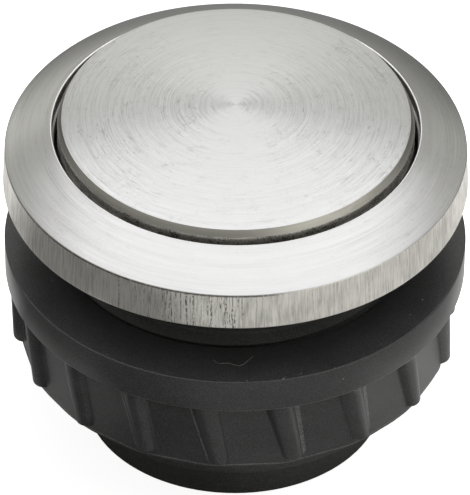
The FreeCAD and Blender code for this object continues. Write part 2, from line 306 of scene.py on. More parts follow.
class DoorbellFinish(bpy.types.PropertyGroup):
    """Colours of the button's finishes."""

    cap_steel: colour_property("Cap steel", "Colour of the cap's turned steel", (0.588, 0.588, 0.586))
    bezel_steel: colour_property("Bezel steel", "Colour of the bezel's brushed steel", (0.568, 0.565, 0.564))
    wall_steel: colour_property("Bezel wall", "Colour of the bezel's drawn wall", (0.84, 0.815, 0.76))
    edge_steel: colour_property("Cap edge steel", "Colour of the cap's rolled edge", (0.45, 0.434, 0.403))
    moulding: colour_property("Black moulding", "Colour of the housing and base", (0.044, 0.0437, 0.044))
    nut_moulding: colour_property("Ring nut moulding", "Colour of the ring nut", (0.039, 0.038, 0.0391))
    brass: colour_property("Brass", "Colour of the contact strips", (0.78, 0.6, 0.3))
    zinc: colour_property("Zinc", "Colour of the plated screws and plates", (0.64, 0.64, 0.63))


def sizes():
    return bpy.context.scene.doorbell_sizes


def finishes():
    return bpy.context.scene.doorbell_finish


# Modelling helpers


def deselect():
    if bpy.context.object and bpy.context.object.mode != "OBJECT":
        bpy.ops.object.mode_set(mode="OBJECT")
    bpy.ops.object.select_all(action="DESELECT")


def make_active(piece):
    deselect()
    piece.select_set(True)
    bpy.context.view_layer.objects.active = piece


@contextmanager
def editing(piece):
    """Edit mode with every point of the piece selected, and object mode again afterwards."""
    make_active(piece)
    bpy.ops.object.mode_set(mode="EDIT")
    bpy.ops.mesh.select_all(action="SELECT")
    yield
    bpy.ops.object.mode_set(mode="OBJECT")


@contextmanager
def shape_of(piece):
    """The piece's mesh as a shape of points and edges, which is written back afterwards."""
    shape = bmesh.new()
    shape.from_mesh(piece.data)
    yield shape
    shape.to_mesh(piece.data)
    shape.free()


def apply_modifier(piece, kind, **settings):
    """Adds a modifier with its settings and applies it."""
    make_active(piece)
    modifier = piece.modifiers.new(kind.lower(), kind)
    for key, value in settings.items():
        setattr(modifier, key, value)
    bpy.ops.object.modifier_apply(modifier=modifier.name)


def clean(piece, gap=merge_gap):
    """Merges doubles and turns all faces outwards."""
    with editing(piece):
        bpy.ops.mesh.remove_doubles(threshold=gap)
        bpy.ops.mesh.select_all(action="SELECT")
        bpy.ops.mesh.normals_make_consistent(inside=False)


def smooth(piece, degrees=30.0):
    make_active(piece)
    bpy.ops.object.shade_smooth_by_angle(angle=math.radians(degrees))


def linked(name, data):
    """A new object of the scene."""
    made = bpy.data.objects.new(name, data)
    bpy.context.scene.collection.objects.link(made)
    return made


def circle_piece(name, places):
    """A circle whose points take the given places."""
    deselect()
    bpy.ops.mesh.primitive_circle_add(vertices=len(places), radius=1 * mm)
    piece = bpy.context.object
    piece.name = name
    for vertex, place in zip(piece.data.vertices, places):
        vertex.co = place
    return piece


def pull_in(vertex, radius):
    """Moves a point to a radius about Z."""
    scale = radius / vertex.co.xy.length
    vertex.co.x *= scale
    vertex.co.y *= scale


def rounded(corners, steps):
    """A closed outline whose corners (x, y, radius) are replaced by arcs of as many points each."""
    outline = []
    count = len(corners)
    for k in range(count):
        x, y, radius = corners[k]
        here = Vector((x, y))
        if radius <= 0:
            outline.append(here)
            continue
        before = Vector(corners[k - 1][:2]) - here
        after = Vector(corners[(k + 1) % count][:2]) - here
        outline += arc_points(here, before, after, radius, steps)
    return outline


def arc_points(here, before, after, radius, steps):
    """Points of the arc that rounds the corner between two directions."""
    way_in = before.normalized()
    way_out = after.normalized()
    half = way_in.angle(way_out) / 2
    if half > math.radians(straight_corner):
        return [here.copy() for _ in range(steps + 1)]
    setback = min(radius / math.tan(half), before.length * corner_reach, after.length * corner_reach)
    radius = setback * math.tan(half)
    centre = here + (way_in + way_out).normalized() * (radius / math.sin(half))
    first = here + way_in * setback - centre
    last = here + way_out * setback - centre
    sweep = math.pi - 2 * half
    if first.x * last.y - first.y * last.x < 0:
        sweep = -sweep
    points = []
    for step in range(steps + 1):
        turn = sweep * step / steps
        points.append(centre + Matrix.Rotation(turn, 2) @ first)
    return points


def dome_points(rim_radius, rim_level, rise, count):
    """Section points of a shallow dome, from the axis to just before its rim."""
    dome = (rim_radius ** 2 + rise ** 2) / (2 * rise)
    centre = rim_level + rise - dome
    reach = math.asin(rim_radius / dome)
    points = []
    for step in range(count):
        angle = reach * step / count
        points.append((dome * math.sin(angle), centre + dome * math.cos(angle), 0.0))
    return points


def turned(name, corners, steps=None):
    """A turned piece: its section, with rounded corners, is spun about Z."""
    outline = rounded(corners, sizes().round_steps)
    piece = circle_piece(name, [(max(point.x, 0.0), 0.0, point.y) for point in outline])
    with editing(piece):
        bpy.ops.mesh.spin(
            steps=steps or sizes().turn_steps, angle=2 * math.pi, center=(0, 0, 0), axis=(0, 0, 1))
    clean(piece)
    smooth(piece)
    return piece


def copy_of(node, name):
    """A merged copy of a CAD node, free to be shaped."""
    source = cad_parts[node]
    piece = linked(name, source.data.copy())
    piece.data.materials.clear()
    make_active(piece)
    if piece.data.has_custom_normals:
        bpy.ops.mesh.customdata_custom_splitnormals_clear()
    clean(piece)
    return piece


def eased_copy(node, name, width):
    """A copy of a CAD node whose sharp edges are eased, as on a stamped or moulded piece."""
    piece = copy_of(node, name)
    with editing(piece):
        bpy.ops.mesh.dissolve_limited(angle_limit=math.radians(0.5))
    apply_modifier(
        piece, "BEVEL", width=width, segments=2, limit_method="ANGLE", angle_limit=math.radians(40),
        use_clamp_overlap=True, harden_normals=False)
    smooth(piece, 35)
    return piece


def join(pieces, name):
    """Joins pieces into the first one."""
    deselect()
    for piece in pieces:
        piece.select_set(True)
    bpy.context.view_layer.objects.active = pieces[0]
    bpy.ops.object.join()
    pieces[0].name = name
    return pieces[0]


def coat(piece, *names):
    """Gives the piece these finishes, the first one everywhere."""
    piece.data.materials.clear()
    for name in names:
        piece.data.materials.append(finish_of(name))


def seat(piece, body, slot, *nodes):
    """The piece stands for its CAD nodes and rides on their body; the slot is not used."""
    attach(piece, body)
    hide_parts(*nodes)


# Material helpers


class Value:
    """A number of a shader tree, which takes part in sums and products as a plain number does."""

    def __init__(self, tree, socket):
        self.tree = tree
        self.socket = socket

    def calc(self, operation, other=0.0, turned_round=False):
        """A math node of this value and another one, which comes first where they are turned round."""
        first, second = (other, self) if turned_round else (self, other)
        made = node(self.tree, "ShaderNodeMath", {"operation": operation}, _0=first, _1=second)
        return Value(self.tree, made.outputs[0])

    def __add__(self, other):
        return self.calc("ADD", other)

    def __sub__(self, other):
        return self.calc("SUBTRACT", other)

    def __rsub__(self, other):
        return self.calc("SUBTRACT", other, True)

    def __mul__(self, other):
        return self.calc("MULTIPLY", other)

    def __truediv__(self, other):
        return self.calc("DIVIDE", other)

    def __abs__(self):
        return self.calc("ABSOLUTE")

    def at_least(self, other):
        return self.calc("MAXIMUM", other)

    def spread(self, low, high, to_low=0.0, to_high=1.0):
        """Maps the value from one range to another, smoothly and without overshoot."""
        made = node(
            self.tree, "ShaderNodeMapRange", {"interpolation_type": "SMOOTHSTEP"}, Value=self,
            From_Min=low, From_Max=high, To_Min=to_low, To_Max=to_high)
        return Value(self.tree, made.outputs["Result"])

    def between(self, first, second):
        """Goes from the first to the second as this value goes from 0 to 1."""
        made = node(self.tree, "ShaderNodeMix", None, Factor=self, _2=first, _3=second)
        return Value(self.tree, made.outputs[0])


def node(tree, kind, settings=None, **inputs):
    """Adds a shader node: settings are its options, and inputs are numbers, colours, values or sockets."""
    made = tree.nodes.new(kind)
    for key, value in (settings or {}).items():
        setattr(made, key, value)
    for key, value in inputs.items():
        socket = made.inputs[int(key[1:])] if key[0] == "_" else made.inputs[key.replace("_", " ")]
        if isinstance(value, Value):
            value = value.socket
        if isinstance(value, bpy.types.NodeSocket):
            tree.links.new(value, socket)
        else:
            socket.default_value = value
    return made


def weighted(*layers):
    """The sum of values, each times its share."""
    total = 0.0
    for value, share in layers:
        total = value * share + total
    return total


def shade(colour, factor):
    """The colour made lighter or darker."""
    return tuple(min(1.0, part * factor) for part in colour)


def tint(value, colour, *stops):
    """A colour ramp of shades of one colour: each stop is a place and a factor."""
    made = node(value.tree, "ShaderNodeValToRGB", Fac=value)
    ramp = made.color_ramp
    while len(ramp.elements) < len(stops):
        ramp.elements.new(0.5)
    for element, (place, factor) in zip(ramp.elements, stops):
        element.position = place
        element.color = (*shade(colour, factor), 1.0)
    return made.outputs["Color"]


def start_material(name, **sockets):
    """A material with one Principled shader, whose sockets take the given plain values."""
    material = bpy.data.materials.new(name)
    material.use_nodes = True
    tree = material.node_tree
    tree.nodes.clear()
    shader = node(tree, "ShaderNodeBsdfPrincipled", None, **sockets)
    output = tree.nodes.new("ShaderNodeOutputMaterial")
    tree.links.new(shader.outputs["BSDF"], output.inputs["Surface"])
    return material, tree, shader


def link_surface(tree, shader, paint, roughness, height, distance, strength):
    """Links a shader's colour, its roughness and a relief of the given height and distance."""
    bump = node(tree, "ShaderNodeBump", None, Strength=strength, Distance=distance, Height=height)
    tree.links.new(paint, shader.inputs["Base Color"])
    tree.links.new(roughness.socket, shader.inputs["Roughness"])
    tree.links.new(bump.outputs["Normal"], shader.inputs["Normal"])


def object_place(tree):
    return tree.nodes.new("ShaderNodeTexCoord").outputs["Object"]


def parts_of(tree, place):
    """A place's X, Y and Z."""
    split = node(tree, "ShaderNodeSeparateXYZ", None, Vector=place)
    return [Value(tree, split.outputs[axis]) for axis in "XYZ"]


def axis_distance(tree, x, y):
    """Distance from the Z axis."""
    flat = node(tree, "ShaderNodeCombineXYZ", None, X=x, Y=y).outputs[0]
    return Value(tree, node(tree, "ShaderNodeVectorMath", {"operation": "LENGTH"}, _0=flat).outputs["Value"])


def noise_at(tree, place, detail, roughness):
    made = node(tree, "ShaderNodeTexNoise", None, Vector=place, Scale=1.0, Detail=detail, Roughness=roughness)
    return Value(tree, made.outputs["Fac"])


def turning_noise(tree, pitch, arc, detail=2.0, roughness=0.6):
    """Noise of long arcs about Z: it changes within a pitch outwards and within an arc's length around."""
    x, y, _ = parts_of(tree, object_place(tree))
    across = axis_distance(tree, x, y) * (1 / pitch)
    place = node(tree, "ShaderNodeCombineXYZ", None, X=across, Y=x * (1 / arc), Z=y * (1 / arc)).outputs[0]
    return noise_at(tree, place, detail, roughness)


def scaled_noise(tree, scale, detail=2.0, roughness=0.6):
    """Plain noise, or drawn-out noise where the scale is three numbers, in features a metre."""
    scale = scale if isinstance(scale, tuple) else (scale, scale, scale)
    place = node(tree, "ShaderNodeMapping", None, Vector=object_place(tree), Scale=scale).outputs[0]
    return noise_at(tree, place, detail, roughness)


def hairlines(tree, pitch, arc, width, gaps):
    """Sparse thin arcs about Z, broken up by gaps of the given size."""
    off_line = abs(turning_noise(tree, pitch, arc, 1.0) - 0.5)
    return off_line.spread(width, width / 3) * scaled_noise(tree, 1 / gaps).spread(0.5, 0.62)


def turned_steel(name, colour, pitch, arc, marks, roughness, anisotropy, worn=0.0, banded=0.0):
    """Steel with turning marks about Z: the marks set its colour, gloss and fine relief."""
    material, tree, shader = start_material(
        name, Metallic=1.0, Anisotropic=anisotropy, Anisotropic_Rotation=0.25)
    mixed = weighted(
        (turning_noise(tree, pitch, arc), fine_share),
        (turning_noise(tree, pitch * 1.6, arc * 6, 1.0), ring_share),
        (turning_noise(tree, pitch * 4, arc * 1.5, 3.0), broad_share),
        (scaled_noise(tree, 1 / speckle_size, 2.0, 0.7), speckle_share))
    bands = turning_noise(tree, pitch * 9, arc * 2) - 0.5
    long_scratches = hairlines(tree, 0.28 * mm, 2.2 * mm, 0.03, 1.2 * mm)
    short_scratches = hairlines(tree, 0.9 * mm, 0.8 * mm, 0.02, 2.0 * mm)
    mixed = mixed + bands * banded - long_scratches.at_least(short_scratches) * worn
    x, y, _ = parts_of(tree, object_place(tree))
    aside = abs(x) / axis_distance(tree, x, y)
    mixed = (mixed - 0.5) * aside.spread(0.3, 0.85, front_marks, 1.0) + 0.5
    paint = tint(mixed, colour, (0.25, 1 - marks), (0.5, 1.0), (0.75, 1 + marks * 0.6))
    gloss = mixed.spread(0.3, 0.7, roughness * 1.1, roughness * 0.9)
    link_surface(tree, shader, paint, gloss, mixed, 0.012 * mm, 0.7)
    tangent = node(tree, "ShaderNodeTangent", {"direction_type": "RADIAL", "axis": "Z"})
    tree.links.new(tangent.outputs["Tangent"], shader.inputs["Tangent"])
    return material


def drawn_steel(name, colour):
    """The bezel's wall: fine streaks along Z, and at the front dotted lines, a scratch and painted shade
    along its top edge.
    """
    material, tree, shader = start_material(name, Metallic=1.0)
    across, along, level = parts_of(tree, object_place(tree))
    streaks = scaled_noise(tree, (9000, 9000, 450), 3.0, 0.7)
    clouds = scaled_noise(tree, (700, 700, 500), 3.0, 0.6)
    off_line = abs(scaled_noise(tree, (3600, 3600, 60), 2.0, 0.6) - 0.5)
    dots = scaled_noise(tree, (9000, 9000, 3800), 2.0, 0.7)
    band = across.spread(*line_left) * across.spread(*line_right) * along.spread(*line_front)
    line = off_line.spread(0.035, 0.01) * dots.spread(0.42, 0.52)
    pits = dots.spread(0.69, 0.74)
    scratch = abs(across - scratch_place).spread(*scratch_width) * along.spread(*scratch_front)
    edge_shade = across.spread(*edge_shade_right) * along.spread(*edge_shade_front) * level.spread(*edge_shade_level)
    dark = line.at_least(pits) * band
    dark = dark.at_least(scratch * dots.spread(0.35, 0.55))
    # Painted shade: a dark line just under the wall's top edge at the front left
    dark = dark.at_least(edge_shade * dots.spread(0.25, 0.45))
    light = weighted((streaks, 0.7), (clouds, 0.3)) * (1.0 - dark * 0.7)
    paint = tint(light, colour, (0.12, 0.15), (0.38, 0.74), (0.5, 1.0), (0.62, 1.2))
    link_surface(tree, shader, paint, light.spread(0.2, 0.7, 0.5, 0.34), light, 0.005 * mm, 0.5)
    return material


def black_moulding(name, colour, roughness):
    """Black moulded plastic: satin skin with a fine grain and soft flow marks."""
    material, tree, shader = start_material(name, IOR=1.43)
    skin = scaled_noise(tree, 1 / skin_grain, 1.0, 0.5)
    flow = scaled_noise(tree, (260, 260, 520), 3.0, 0.55)
    paint = tint(weighted((flow, 0.25), (skin, 0.75)), colour, (0.34, 0.7), (0.5, 1.0), (0.63, 1.55))
    gloss = weighted((flow, 0.06), (skin, 0.08)) + (roughness - 0.07)
    link_surface(tree, shader, paint, gloss, skin, skin_relief, 0.5)
    return material


def plain_metal(name, colour, roughness, scale, relief, contrast=1.0):
    """Stamped or plated metal: fine clouds in colour and gloss, and a faint relief."""
    material, tree, shader = start_material(name, Metallic=1.0)
    lines = scaled_noise(tree, scale, 3.0, 0.6)
    mixed = weighted((scaled_noise(tree, 700.0, 4.0, 0.65), 0.5), (lines, 0.5))
    reach = 0.2 / contrast
    darkest = max(0.15, 1 - 0.3 * contrast)
    paint = tint(mixed, colour, (0.5 - reach, darkest), (0.5, 1.0), (0.5 + reach, 1 + 0.15 * contrast))
    gloss = mixed.spread(0.3, 0.7, roughness * 1.3, roughness * 0.8)
    link_surface(tree, shader, paint, gloss, lines, relief, 0.5)
    return material


def pale_moulding(name, colour):
    """Natural, slightly waxy moulded plastic."""
    material, tree, shader = start_material(name, IOR=1.5)
    skin = scaled_noise(tree, 12000.0, 2.0, 0.6)
    paint = tint(scaled_noise(tree, 600.0, 3.0, 0.6), colour, (0.3, 0.86), (0.7, 1.08))
    link_surface(tree, shader, paint, skin.spread(0.3, 0.7, 0.5, 0.36), skin, 0.003 * mm, 0.4)
    return material


def finish_of(name):
    """The named finish, made once and shared by all the pieces that have it."""
    found = bpy.data.materials.get(name)
    if found:
        return found
    look = finishes()
    makers = {
        "cap_turned": (turned_steel, look.cap_steel, 0.05 * mm, 1.0 * mm, 0.34, 0.34, 0.75, 0.14),
        "bezel_brushed": (turned_steel, look.bezel_steel, 0.05 * mm, 3.0 * mm, 0.26, 0.3, 0.7, 0.08, 0.3),
        "cap_edge": (turned_steel, look.edge_steel, 0.06 * mm, 1.0 * mm, 0.3, 0.36, 0.0),
        "cap_skirt": (plain_metal, shade(look.edge_steel, 1.25), 0.4, 9000.0, 0.02 * mm, 2.3),
        # A lighter copy of the bezel's steel: a painted highlight on the opening's edge
        "bezel_lip": (plain_metal, shade(look.bezel_steel, 1.7), 0.45, 5000.0, 0.002 * mm),
        "bezel_wall": (drawn_steel, look.wall_steel),
        "black_housing": (black_moulding, look.moulding, 0.42),
        "black_nut": (black_moulding, look.nut_moulding, 0.3),
        # A lighter copy of the nut's moulding: painted highlight lines on its edges
        "nut_edges": (black_moulding, shade(look.nut_moulding, 2.6), 0.28),
        "brass_strip": (plain_metal, look.brass, 0.3, (600.0, 9000.0, 9000.0), 0.003 * mm),
        "silver_rivet": (plain_metal, (0.86, 0.85, 0.82), 0.25, 6000.0, 0.002 * mm),
        "zinc_screw": (plain_metal, look.zinc, 0.32, 5000.0, 0.004 * mm),
        "zinc_plate": (plain_metal, shade(look.zinc, 0.96), 0.36, (9000.0, 500.0, 9000.0), 0.004 * mm),
        "spring_wire": (plain_metal, (0.62, 0.62, 0.6), 0.24, 8000.0, 0.002 * mm),
        "pale_retainer": (pale_moulding, (0.6, 0.58, 0.52)),
        "pale_dust": (pale_moulding, (0.16, 0.155, 0.15)),
    }
    maker, *settings = makers[name]
    return maker(name, *settings)


# Pieces


class DOORBELL_OT_bezel(bpy.types.Operator):
    """Turned steel ring: brushed sloping face, drawn wall and eased edges"""

    bl_idname = "doorbell.bezel"
    bl_label = "Bezel"

    def execute(self, context):
        edge = sizes().bezel_edge_round
        piece = turned("bezel_ring", [
            (bezel_pocket, bezel_bottom, edge / 3),
            (bezel_radius + bezel_flare, bezel_bottom, edge),
            (bezel_radius, bezel_edge, edge),
            (bezel_opening, bezel_top, edge / 2),
            (bezel_opening, ledge, 0.0),
            (bezel_opening - ledge_reach, ledge - ledge_slope, ledge_round),
            (bezel_opening - ledge_reach, bezel_ceiling, 0.0),
            (bezel_pocket, bezel_ceiling, 0.0),
        ])
        coat(piece, "bezel_brushed", "bezel_wall", "bezel_lip")
        for face in piece.data.polygons:
            outer = face.center.xy.length
            if abs(face.normal.z) < 0.5 and outer > bezel_radius - edge * 2:
                face.material_index = 1
            # Faces of the opening's rounded edge take a lighter steel, a painted highlight
            if outer < bezel_opening + edge / 2 and bezel_top - edge < face.center.z:
                face.material_index = 2
        seat(piece, "switch_body", "bezel_steel", "bezel")
        return {"FINISHED"}


class DOORBELL_OT_cap(bpy.types.Operator):
    """Domed steel cap with turning marks and a rolled edge"""

    bl_idname = "doorbell.cap"
    bl_label = "Cap"

    def execute(self, context):
        edge = sizes().cap_edge_round
        rim = cap_radius - edge
        inside_radius = cap_radius - cap_wall
        inside_rim = cap_rim - cap_wall
        outer = dome_points(rim, cap_rim, cap_rise, dome_steps)
        inner = dome_points(inside_radius, inside_rim, cap_rise, dome_inner_steps)
        piece = turned("cap_dome", outer + [
            (rim, cap_rim, cap_rim_round),
            (rim + edge * cap_bulge, cap_rim - cap_band / 2, 0.0),
            (cap_radius, cap_rim - cap_band, cap_band_round),
            (cap_radius, cap_skirt_end, cap_skirt_round),
            (inside_radius, cap_skirt_end, cap_skirt_round),
            (inside_radius, inside_rim, cap_band_round),
        ] + inner[::-1])
        coat(piece, "cap_turned", "cap_edge", "cap_skirt")
        for face in piece.data.polygons:
            if face.center.xy.length > rim:
                face.material_index = 1 if face.center.z > cap_rim - cap_band else 2
        seat(piece, "push_button", "cap_steel", "cap")
        return {"FINISHED"}


class DOORBELL_OT_housing(bpy.types.Operator):
    """Moulded housing whose barrel carries a real helical thread and ends in a plain collar"""

    bl_idname = "doorbell.housing"
    bl_label = "Housing with thread"

    def execute(self, context):
        core = copy_of("housing", "housing_barrel")
        root = barrel_radius - sizes().thread_depth
        seam = root - thread_seam
        for vertex in core.data.vertices:
            outer = vertex.co.xy.length
            on_barrel = barrel_radius - barrel_chamfer - touch < outer < barrel_radius + touch
            if on_barrel and vertex.co.z < bezel_bottom + touch:
                pull_in(vertex, seam)
        thread = self.make_thread(root, seam)
        collar = turned("collar", [
            (seam, barrel_end, 0.0),
            (barrel_radius - collar_draw, barrel_end, 0.0),
            (barrel_radius, barrel_end + collar_lead, 0.0),
            (barrel_radius, barrel_end + collar_height, collar_round),
            (seam, barrel_end + collar_height, 0.0),
        ])
        piece = join([core, thread, collar], "housing_barrel")
        smooth(piece, 35)
        coat(piece, "black_housing")
        seat(piece, "switch_body", "housing_moulding", "housing")
        return {"FINISHED"}

    def make_thread(self, root, seam):
        """One pitch of the thread's profile is swept up a helix, cut level at both ends and closed inside."""
        pitch = sizes().thread_pitch
        start = barrel_end - pitch
        crest = barrel_radius
        profile = ((root, 0.0), (root, 0.12), (crest, 0.44), (crest, 0.56), (root, 0.88), (root, 1.0))
        piece = circle_piece(
            "thread", [(radius, 0.0, start + (share + thread_phase) * pitch) for radius, share in profile])
        with shape_of(piece) as shape:
            closing = [edge for edge in shape.edges if edge.calc_length() > pitch * 0.9]
            bmesh.ops.delete(shape, geom=closing, context="EDGES_FACES")
        turns = math.ceil((bezel_bottom - barrel_end) / pitch) + 2
        apply_modifier(
            piece, "SCREW", angle=2 * math.pi, screw_offset=pitch, iterations=turns, steps=thread_steps,
            render_steps=thread_steps, use_merge_vertices=True, merge_threshold=thread_gap)
        thread_start = barrel_end + collar_height - collar_overlap
        for level, above in ((thread_start, False), (bezel_bottom - touch, True)):
            with editing(piece):
                bpy.ops.mesh.bisect(
                    plane_co=(0, 0, level), plane_no=(0, 0, 1), clear_inner=not above, clear_outer=above,
                    threshold=cut_gap)
        with editing(piece):
            bpy.ops.mesh.remove_doubles(threshold=thread_gap)
        with shape_of(piece) as shape:
            ends = [edge for edge in shape.edges if edge.is_boundary]
            made = bmesh.ops.extrude_edge_only(shape, edges=ends)
            for vertex in made["geom"]:
                if isinstance(vertex, bmesh.types.BMVert):
                    pull_in(vertex, seam)
        clean(piece, cut_gap)
        return piece


class DOORBELL_OT_ring_nut(bpy.types.Operator):
    """Moulded ring nut: flange, faceted core and slanting grip ribs with fillets and rounded feet"""

    bl_idname = "doorbell.ring_nut"
    bl_label = "Ring nut"

    def execute(self, context):
        rows = nut_rows()
        ribs = sizes().rib_count
        columns = len(rows[0]) * ribs
        deselect()
        bpy.ops.mesh.primitive_grid_add(x_subdivisions=columns, y_subdivisions=len(rows), size=1 * mm)
        piece = bpy.context.object
        piece.name = "grip_nut"
        if len(piece.data.vertices) != (columns + 1) * (len(rows) + 1):
            raise RuntimeError("the grid has another number of points than the nut's section needs")
        for index, vertex in enumerate(piece.data.vertices):
            row, column = divmod(index, columns + 1)
            rib, place = divmod(column % columns, len(rows[0]))
            turn = Matrix.Rotation(2 * math.pi * rib / ribs, 3, "Z")
            vertex.co = turn @ rows[row % len(rows)][place]
        # The nut's second finish is a painted highlight on its edges
        coat(piece, "black_nut", "nut_edges")
        self.paint_edge_highlights(piece, len(rows[0]))
        clean(piece)
        smooth(piece, 40)
        seat(piece, "nut", "nut_moulding", "ring_nut")
        return {"FINISHED"}

    def paint_edge_highlights(self, piece, row_points):
        """Painted highlights, a lighter moulding on thin bands: under the flange's edge, at one side of each
        rib and on the core's lower edge.
        """
        low_fillet = range(flat_steps, flat_steps + fillet_steps)
        high_start = flat_steps + fillet_steps + rib_arc_steps + 3
        high_fillet = range(high_start, high_start + fillet_steps)
        core_edge = nut_end + nut_chamfer
        for index, face in enumerate(piece.data.polygons):
            fillet = low_fillet if face.center.x < 1 * mm else high_fillet
            level = face.center.z
            outer = face.center.xy.length
            on_flange = nut_flange_bottom < level < nut_flange_bottom + flange_low_round * highlight_on_flange
            on_flange = on_flange and outer > nut_flange_radius - flange_low_round
            on_rib = index % row_points in fillet and nut_end + rib_stop < level < nut_flange_bottom
            on_core = core_edge - 0.5 * highlight_line_height < level < core_edge + 0.5 * highlight_line_height
            on_core = on_core and outer > nut_core_end * highlight_on_core
            if on_flange or on_core or (on_rib and outer < nut_flange_radius):
                face.material_index = 1


def nut_rows():
    """The nut's closed section as rows over one rib's pitch, from the bore's foot round to its top."""
    inner = nut_core_end - nut_chamfer
    rib_foot = nut_end + rib_stop + rib_toe
    fillet_start = nut_flange_bottom - nut_fillet
    foot_row = rib_row(nut_end + rib_stop, inner)
    top_row = rib_row(nut_flange_bottom, inner)
    rows = [
        circle_row(foot_row, nut_bore, nut_end + nut_break),
        circle_row(foot_row, nut_bore + nut_break, nut_end),
        circle_row(foot_row, inner - nut_break, nut_end),
    ]
    levels = {nut_end + step * chamfer_step for step in range(1, chamfer_steps + 1)}
    levels |= {rib_foot - rib_toe * math.sin(math.pi / 2 * step / toe_steps) for step in range(toe_steps + 1)}
    levels |= {rib_foot + (fillet_start - rib_foot) * step / rib_steps for step in range(1, rib_steps + 1)}
    rows += [rib_row(level, inner) for level in sorted(levels)]
    for step in range(1, flange_fillet_steps + 1):
        angle = math.pi / 2 * step / flange_fillet_steps
        row = rib_row(fillet_start + nut_fillet * math.sin(angle), inner)
        rows.append([pushed(point, nut_fillet * (1 - math.cos(angle))) for point in row])
    side_low = nut_flange_radius - nut_flange_taper
    corners = [
        (nut_core_top, nut_flange_bottom, 0.0),
        (side_low, nut_flange_bottom, flange_low_round),
        (nut_flange_radius, nut_top, flange_top_round),
        (nut_bore, nut_top, nut_break),
        (nut_bore, nut_end + nut_break * 3, 0.0),
    ]
    rows += [circle_row(top_row, point.x, point.y) for point in rounded(corners, sizes().round_steps)[1:]]
    return rows


def pushed(point, reach):
    """The point moved outwards from Z, no farther than the flange's rounded edge."""
    length = point.xy.length
    limit = nut_flange_radius - nut_flange_taper - flange_low_round - nut_break / 4
    scale = max(min(length + reach, limit), length) / length
    return Vector((point.x * scale, point.y * scale, point.z))


def circle_row(source, radius, level):
    """A row of points on a circle, in the directions of another row."""
    return [Vector((*(point.xy.normalized() * radius), level)) for point in source]


def rib_row(level, chamfer_start):
    """One pitch of the ribbed core at a level: flat, fillet, the rib's arc, fillet and flat."""
    size = sizes()
    pitch = 2 * math.pi / size.rib_count
    corner_turn = math.radians(rib_turn - rib_slant / 2)
    core = nut_core_end + (nut_core_top - nut_core_end) * (level - nut_end) / (nut_flange_bottom - nut_end)
    rib_foot = nut_end + rib_stop + rib_toe
    climb = max(0.0, (level - rib_foot) / (nut_flange_bottom + rib_root - rib_foot))
    half = (size.rib_foot_width + (size.rib_top_width - size.rib_foot_width) * climb) / 2
    foot_place = nut_core_end + rib_foot_stand - size.rib_foot_width / 2
    top_place = nut_core_top + rib_top_stand - size.rib_top_width / 2
    place = foot_place + (top_place - foot_place) * climb
    if level < rib_foot:
        sink = min(1.0, (rib_foot - level) / rib_toe)
        half *= math.sqrt(1 - sink * sink)
    turn = math.radians(rib_turn - rib_slant * climb)
    outline = rib_outline(core, corner_turn, pitch, place, half, turn, size.rib_fillet)
    limit = chamfer_start + level - nut_end
    if level > nut_end + nut_chamfer:
        limit = nut_flange_radius
    return [Vector((*(point * min(1.0, limit / point.length)), level)) for point in outline]


def polar(radius, angle):
    return Vector((radius * math.cos(angle), radius * math.sin(angle)))


def angle_of(point):
    return math.atan2(point.y, point.x)


def rib_outline(core, corner_turn, pitch, place, half, turn, fillet):
    """Points of one pitch between the middles of two flats, with the rib's arc standing out of them."""
    low = corner_turn - pitch / 2
    high = corner_turn + pitch / 2
    centre = polar(place, turn)

    def flat(angle):
        off = (angle - corner_turn) % pitch - pitch / 2
        return polar(core * math.cos(pitch / 2) / math.cos(off), angle)

    def on_rib(swing):
        return centre + polar(1.0, turn + swing) * half

    def stands_out(swing):
        point = on_rib(swing)
        return point.length > flat(angle_of(point)).length

    if half <= 0 or not stands_out(0.0):
        angles = [low + (turn - low) * k / flat_steps for k in range(flat_steps)]
        angles += [turn] * (rib_arc_steps + 1 + 2 * (fillet_steps + 1))
        angles += [turn + (high - turn) * (k + 1) / flat_steps for k in range(flat_steps - 1)]
        return [flat(angle) for angle in angles]
    ends = []
    for side in (-1, 1):
        near, far = 0.0, side * math.radians(rib_search_turn)
        for _ in range(rib_search_steps):
            middle = (near + far) / 2
            if stands_out(middle):
                near = middle
            else:
                far = middle
        ends.append(near)
    curves = []
    for side, swing in zip((-1, 1), ends):
        point = on_rib(swing)
        along_flat = (flat(angle_of(point) + side * flat_glance) - point).normalized() * mm
        tangent = Vector((-math.sin(turn + swing), math.cos(turn + swing))) * (-side * mm)
        arms = (along_flat, tangent) if side < 0 else (tangent, along_flat)
        radius = min(fillet, half * fillet_limit) * (1.0 if side < 0 else fillet_share)
        curves.append(arc_points(point, arms[0], arms[1], radius, fillet_steps))
    low_curve, high_curve = curves
    first = angle_of(low_curve[0])
    last = angle_of(high_curve[-1])
    swing_low = ends[0] + (low_curve[-1] - on_rib(ends[0])).length / half
    swing_high = ends[1] - (high_curve[0] - on_rib(ends[1])).length / half
    span = swing_high - swing_low
    points = [flat(low + (first - low) * k / flat_steps) for k in range(flat_steps)]
    points += low_curve
    points += [on_rib(swing_low + span * (k + 0.5) / (rib_arc_steps + 1)) for k in range(rib_arc_steps + 1)]
    points += high_curve
    points += [flat(last + (high - last) * (k + 1) / flat_steps) for k in range(flat_steps - 1)]
    return points


